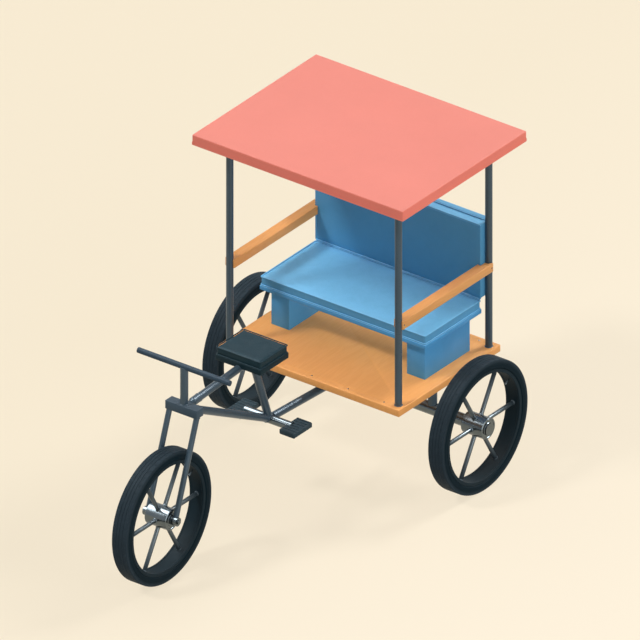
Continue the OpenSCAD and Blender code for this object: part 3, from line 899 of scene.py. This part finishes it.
def puffed(name, mesh, cap):
    # no point moves further than cap from where it starts
    piece = placed(name, mesh)
    start = [v.co.copy() for v in mesh.vertices]
    cloth = piece.modifiers.new("cloth", "CLOTH")
    setAll(cloth.settings, quality=airLook["quality"], mass=airLook["mass"], use_pressure=True,
           uniform_pressure_force=airLook["pressure"])
    cloth.settings.effector_weights.gravity = 0.0
    setAll(cloth.point_cache, frame_start=1, frame_end=airLook["frames"])
    for step in range(1, airLook["frames"] + 1):
        scene.frame_set(step)
    result = takeMesh(piece)
    scene.frame_set(1)
    for vertex, before in zip(result.vertices, start):
        move = vertex.co - before
        if move.length > cap:
            vertex.co = before + move * (cap / move.length)
    return result


def sideOf(side):
    end, letter = side.split()
    return end == "low", "XYZ".index(letter)


def weltPath(low, high, side, radius):
    # a rounded rectangle just inside one face of the pad's box
    atLow, flatAxis = sideOf(side)
    a, b = [axis for axis in range(3) if axis != flatAxis]
    corner, turns = weltLook["corner"], weltLook["turns"]
    reach = corner + radius
    points = []
    for quarter, (signA, signB) in enumerate(((1, 1), (-1, 1), (-1, -1), (1, -1))):
        turnA = (high[a] - reach) if signA > 0 else (low[a] + reach)
        turnB = (high[b] - reach) if signB > 0 else (low[b] + reach)
        for i in range(turns + 1):
            angle = (quarter + i / turns) * math.pi / 2
            point = Vector((0, 0, 0))
            point[flatAxis] = low[flatAxis] + radius if atLow else high[flatAxis] - radius
            point[a] = turnA + corner * math.cos(angle)
            point[b] = turnB + corner * math.sin(angle)
            points.append(point)
    return points


def tubeMesh(points, radius):
    # a closed tube along the points
    curve = setAll(bpy.data.curves.new("path", "CURVE"), dimensions="3D", bevel_depth=radius,
                   bevel_resolution=weltLook["around"])
    line = curve.splines.new("POLY")
    line.points.add(len(points) - 1)
    for spot, point in zip(line.points, points):
        spot.co = (*point, 1)
    line.use_cyclic_u = True
    mesh = takeMesh(placed("path", curve))
    bpy.data.curves.remove(curve)
    return mesh


def clearOfPosts(mesh, gap=0.0007):
    for side in sides:
        (x, y, level), radius = uprightAt("post_rear_" + side, 0)
        for vertex in mesh.vertices:
            away = Vector((vertex.co.x - x, vertex.co.y - y))
            if away.length < radius + gap:
                away = away.normalized() * (radius + gap)
                vertex.co.x, vertex.co.y = x + away.x, y + away.y


def buildCushion(node, slot, finish, own):
    look = {**padBase, **own}
    low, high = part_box(node)
    byPosts = node == "backrest_cushion"
    margin = Vector((look["margin"],) * 3)
    first, last = low + margin, high - margin
    atLow, axis = sideOf(look["rests"])
    if atLow:
        first[axis] = low[axis] + look["under"]
    else:
        last[axis] = high[axis] - look["under"]
    bm = bmesh.new()
    addBox(bm, first, last, look["edge"], 2)
    mesh = remeshed(node + "Grid", bm, look["voxel"])
    mesh = puffed(node + "Sim", mesh, look["cap"])
    for vertex in mesh.vertices:
        for axis in range(3):
            vertex.co[axis] = min(max(vertex.co[axis], low[axis] + look["inside"]),
                                  high[axis] - look["inside"])
    if byPosts:
        clearOfPosts(mesh)
    pad = dressPiece(node + "_pad", mesh, finish, (node,), smooth=180)
    setAll(pad.modifiers.new("finer", "SUBSURF"), levels=1, render_levels=1)
    bm = bmesh.new()
    for side in look["welts"]:
        tube = tubeMesh(weltPath(low, high, side, look["welt"]), look["welt"])
        if byPosts:
            clearOfPosts(tube)
        bm.from_mesh(tube)
    finishPiece(node + "_welt", bm, finish, smooth=60)


for node, look in pads.items():
    buildCushion(node, *look)
print("cushions built")


# canopy cover: one flat cut of cloth, folded down on four sides

coverLook = dict(cell=0.02, rows=5, sag=0.005, corner=0.004, cornerSteps=3, foldAngle=50,
                 thick=0.0014, underTop=0.0004, bayX=(0.03, 0.66), bearer=0.04)


def addGrid(bm, middle, level, sizeX, sizeY, cellsX=1, cellsY=1):
    bmesh.ops.create_grid(bm, x_segments=cellsX, y_segments=cellsY, size=0.5,
                          matrix=Matrix.Translation((middle.x, middle.y, level)) @
                          Matrix.Diagonal((sizeX, sizeY, 1, 1)))


def onlyVerts(made):
    return [v for v in made if isinstance(v, bmesh.types.BMVert)]


def bay(place, start, end):
    # 0 at both ends of an open bay of the frame and 1 in its middle
    return math.sin(math.pi * min(max((place - start) / (end - start), 0.0), 1.0))


def buildCanopyCover():
    look = coverLook
    low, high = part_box("canopy_cover")
    bm = bmesh.new()
    sizeX, sizeY, drop = high.x - low.x, high.y - low.y, high.z - low.z
    middle = (low + high) / 2
    top = high.z - look["underTop"]
    bayY = (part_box("post_front_left")[1].y + look["bearer"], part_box("post_rear_left")[0].y - look["bearer"])
    addGrid(bm, middle, top, sizeX - 2 * look["thick"], sizeY - 2 * look["thick"],
            round(sizeX / look["cell"]), round(sizeY / look["cell"]))
    pattern = bm.loops.layers.uv.new("pattern")
    for face in bm.faces:
        for loop in face.loops:
            loop[pattern].uv = loop.vert.co.xy
    for row in range(look["rows"]):
        rim = [e for e in bm.edges if e.is_boundary]
        grown = bmesh.ops.extrude_edge_only(bm, edges=rim)["geom"]
        for vertex in onlyVerts(grown):
            vertex.co.z -= (drop - look["thick"]) / look["rows"]
        for face in (f for f in grown if isinstance(f, bmesh.types.BMFace)):
            # the cut lies flat, so a side's points lie further out by as much as they hang
            out = face.calc_center_median() - middle
            sideways = abs(out.x) / sizeX > abs(out.y) / sizeY
            for loop in face.loops:
                fall = top - loop.vert.co.z
                shift = (math.copysign(fall, out.x), 0) if sideways else (0, math.copysign(fall, out.y))
                loop[pattern].uv = loop.vert.co.xy + Vector(shift)
    for vertex in bm.verts:
        if vertex.co.z > top - 0.0001:
            vertex.co.z -= look["sag"] * bay(abs(vertex.co.x), *look["bayX"]) * bay(vertex.co.y, *bayY)
    cover = finishPiece("canopyCover", bm, "canopyCloth", ("canopy_cover",), 180)
    setAll(cover.modifiers.new("corner", "BEVEL"), width=look["corner"], segments=look["cornerSteps"],
           limit_method="ANGLE", angle_limit=math.radians(look["foldAngle"]))
    setAll(cover.modifiers.new("cloth", "SOLIDIFY"), thickness=look["thick"], offset=-1)


hemLook = dict(high=0.016, thick=0.0009, corner=0.004, cornerSteps=3, stitch=0.0075,
               gap=0.0045, thread=0.0006, sunk=0.3, below=0.003, ends=0.010)


def buildCanopyHem():
    look = hemLook
    low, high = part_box("canopy_cover")
    bm = bmesh.new()
    addGrid(bm, (low + high) / 2, low.z, high.x - low.x, high.y - low.y)
    bmesh.ops.delete(bm, geom=list(bm.faces), context="FACES_ONLY")
    raised = bmesh.ops.extrude_edge_only(bm, edges=list(bm.edges))["geom"]
    bmesh.ops.translate(bm, verts=onlyVerts(raised), vec=(0, 0, look["high"]))
    corners = [e for e in bm.edges if abs(e.verts[0].co.z - e.verts[1].co.z) > 0.001]
    bevelEdges(bm, corners, look["corner"], look["cornerSteps"])
    pattern = bm.loops.layers.uv.new("pattern")
    for face in bm.faces:
        for loop in face.loops:
            across = loop.vert.co.y if abs(face.normal.x) > 0.7 else loop.vert.co.x
            loop[pattern].uv = (across, loop.vert.co.z)
    hem = finishPiece("canopyHem", bm, "canopyCloth", smooth=60)
    setAll(hem.modifiers.new("band", "SOLIDIFY"), thickness=look["thick"], offset=1)
    hem.modifiers.new("flatSides", "WEIGHTED_NORMAL")


def buildStitches():
    look = hemLook
    low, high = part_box("canopy_cover")
    bm = bmesh.new()
    pitch = look["stitch"] + look["gap"]
    proud = look["thick"] + look["thread"] * look["sunk"]
    for axis, other in ((0, 1), (1, 0)):
        count = int((high[axis] - low[axis] - 2 * look["ends"]) / pitch)
        for edge in (low[other] - proud, high[other] + proud):
            for i in range(count):
                start = Vector((0, 0, low.z + look["high"] - look["below"]))
                start[axis] = low[axis] + look["ends"] + i * pitch
                start[other] = edge
                stop = start.copy()
                stop[axis] += look["stitch"]
                addRod(bm, start, stop, look["thread"], steps=5)
    finishPiece("canopyStitches", bm, "coralThread")


buildCanopyCover()
buildCanopyHem()
buildStitches()
print("canopy cover built")


# camera, lamps and floor

cameraSettings = dict(
    azimuth=math.atan2(3, 4),  # turned towards the rider's left
    elevation=math.atan2(14, 25),
    across=3.4,  # metres from side to side of the view
    aim=(0.0, 0.442, 0.946), distance=9.0)


def placeCamera(settings):
    az, el = settings["azimuth"], settings["elevation"]
    back = Vector((math.sin(az) * math.cos(el), -math.cos(az) * math.cos(el), math.sin(el)))
    lens = setAll(bpy.data.cameras.new("camera"), type="ORTHO", ortho_scale=settings["across"])
    camera = placed("camera", lens)
    camera.location = Vector(settings["aim"]) + back * settings["distance"]
    camera.rotation_euler = back.to_track_quat("Z", "Y").to_euler()
    scene.camera = camera


lampSettings = {
    # name: (where the light comes from, strength, softness in degrees, shadow, on matt surfaces)
    "key": ((-0.33, -0.56, 0.758), 1.20, 9, True, True),
    "overhead": ((-0.52, -0.04, 0.85), 1.04, 30, False, True),
    "back": ((0.21, 0.70, 0.685), 1.62, 20, True, True),
    "sideFill": ((0.95, -0.20, 0.25), 1.44, 60, False, True),
    "glint": ((-0.52, -0.10, 0.85), 2.4, 44, False, False),
    "backGlint": ((0.21, 0.70, 0.685), 3.0, 36, True, False),
}
# inGloss is the strength in mirrored light, seen what the camera sees past the floor
worldSettings = dict(color=(0.97, 0.985, 1.0), strength=0.15, inGloss=0.75, seen=(0.95, 0.85, 0.68))


def placeLamps(lamps):
    for name, (direction, strength, softness, shadow, matt) in lamps.items():
        sun = setAll(bpy.data.lights.new(name, "SUN"), energy=strength,
                     angle=math.radians(softness), use_shadow=shadow)
        lamp = placed(name, sun)
        lamp.rotation_euler = Vector(direction).to_track_quat("Z", "Y").to_euler()
        lamp.visible_diffuse = matt


def makeWorld(settings):
    sky = bpy.data.worlds.new("sky")
    sky.use_nodes = True
    tree = sky.node_tree
    path = put(tree, "ShaderNodeLightPath").outputs
    level = ranged(tree, path["Is Glossy Ray"], 0.0, 1.0, settings["strength"], settings["inGloss"])
    connect(tree, tree.nodes["Background"],
            Color=mixed(tree, path["Is Camera Ray"], settings["color"], settings["seen"]),
            Strength=maths(tree, "MAXIMUM", level, path["Is Camera Ray"]))
    scene.world = sky


floorSettings = dict(
    size=60.0, roughness=1.0, gloss=0.0,
    darkColor=(0.900, 0.797, 0.620), lightColor=(0.972, 0.871, 0.711),
    fade=0.19,  # how much of the change of tone one metre along X brings
    fadeStart=0.36,  # share of the change at the middle of the part
    ownLight=0.77,  # share of the floor's tone that doesn't depend on the lamps
    bounce=(0.31, 0.31, 0.30))  # tone that the floor throws back on the object


def layFloor(settings):
    bm = bmesh.new()
    bmesh.ops.create_grid(bm, x_segments=1, y_segments=1, size=settings["size"] / 2)
    floor = placed("floor", meshFrom("floor", bm))
    tree, shader = newMaterial("floor", settings)
    across = mapped(tree, ownPlace(tree), Scale=(settings["fade"],) * 3,
                    Location=(settings["fadeStart"], 0, 0))
    fade = put(tree, "ShaderNodeTexGradient", {"Vector": across}).outputs["Fac"]
    tone = mixed(tree, fade, settings["darkColor"], settings["lightColor"])
    path = put(tree, "ShaderNodeLightPath").outputs
    seen = maths(tree, "MAXIMUM", path["Is Camera Ray"], path["Is Glossy Ray"])
    share = mixed(tree, 1.0, tone, (1 - settings["ownLight"],) * 3, "MULTIPLY")
    connect(tree, shader, Base_Color=mixed(tree, seen, settings["bounce"], share),
            Emission_Color=tone, Emission_Strength=times(tree, seen, settings["ownLight"]))
    floor.data.materials.append(finishes["floor"])


placeCamera(cameraSettings)
placeLamps(lampSettings)
makeWorld(worldSettings)
layFloor(floorSettings)
scene.view_settings.view_transform = "Standard"
print("camera, lamps and floor placed")
